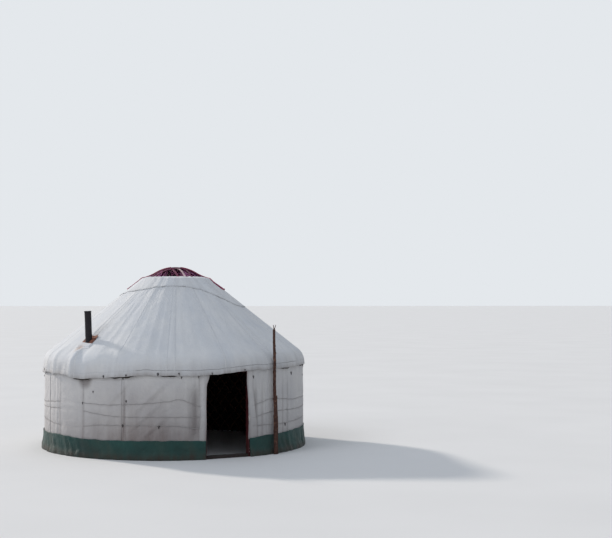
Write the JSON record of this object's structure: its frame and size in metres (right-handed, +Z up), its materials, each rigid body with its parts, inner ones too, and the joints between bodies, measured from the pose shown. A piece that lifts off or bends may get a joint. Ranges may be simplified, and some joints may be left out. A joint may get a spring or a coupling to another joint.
{
  "type": "yurt",
  "caption": "Round lattice-walled tent house under felt and canvas, with a conical roof, an open arched crown, a doorway, a stove pipe and a ground skirt.",
  "frame": {"origin": "on the ground, straight under the middle of the crown", "axes": "+Z up, the doorway faces -Y, +X to the right of someone who looks at the doorway"},
  "size_m": [5.5909, 5.5788, 3.7861],
  "materials": {
    "lattice_wood": "painted slats, worn",
    "canvas": "matt off-white cotton canvas over felt, dusty low down",
    "skirt_canvas": "dark green tarpaulin strip, dusty",
    "pole_wood": "painted bent poles",
    "crown_wood": "maroon painted bent wood",
    "crown_cloth": "maroon felted cloth",
    "rope": "thin twisted rope",
    "door_wood": "dark red paint, worn",
    "sooty_steel": "sooty black sheet steel",
    "rusty_steel": "orange rust",
    "rough_wood": "bare weathered trunk"
  },
  "bodies": {
    "root": {"crown_arches_lower": "crown_wood", "crown_arches_upper": "crown_wood", "crown_cap": "canvas", "crown_cover": "crown_cloth", "crown_ring": "crown_wood", "door_jamb_left": "door_wood", "door_jamb_right": "door_wood", "door_lintel": "door_wood", "door_threshold": "door_wood", "girth_ropes": "rope", "ground_skirt_left": "skirt_canvas", "ground_skirt_right": "skirt_canvas", "lattice_section_1": "lattice_wood", "lattice_section_2": "lattice_wood", "lattice_section_3": "lattice_wood", "lattice_section_4": "lattice_wood", "lattice_section_5": "lattice_wood", "lattice_section_6": "lattice_wood", "lattice_section_7": "lattice_wood", "lattice_section_8": "lattice_wood", "pipe_band": "sooty_steel", "pipe_plate": "rusty_steel", "prop_pole": "rough_wood", "roof_gore_1": "canvas", "roof_gore_2": "canvas", "roof_gore_3": "canvas", "roof_gore_4": "canvas", "roof_gore_5": "canvas", "roof_gore_6": "canvas", "roof_gore_7": "canvas", "roof_gore_8": "canvas", "roof_poles_front_left": "pole_wood", "roof_poles_front_right": "pole_wood", "roof_poles_over_door": "pole_wood", "roof_poles_rear_left": "pole_wood", "roof_poles_rear_right": "pole_wood", "stove_pipe": "sooty_steel", "wall_cover_1": "canvas", "wall_cover_2": "canvas", "wall_cover_3": "canvas", "wall_cover_4": "canvas", "wall_cover_5": "canvas", "wall_cover_6": "canvas", "wall_cover_7": "canvas", "wall_cover_8": "canvas"}
  },
  "joints": []
}
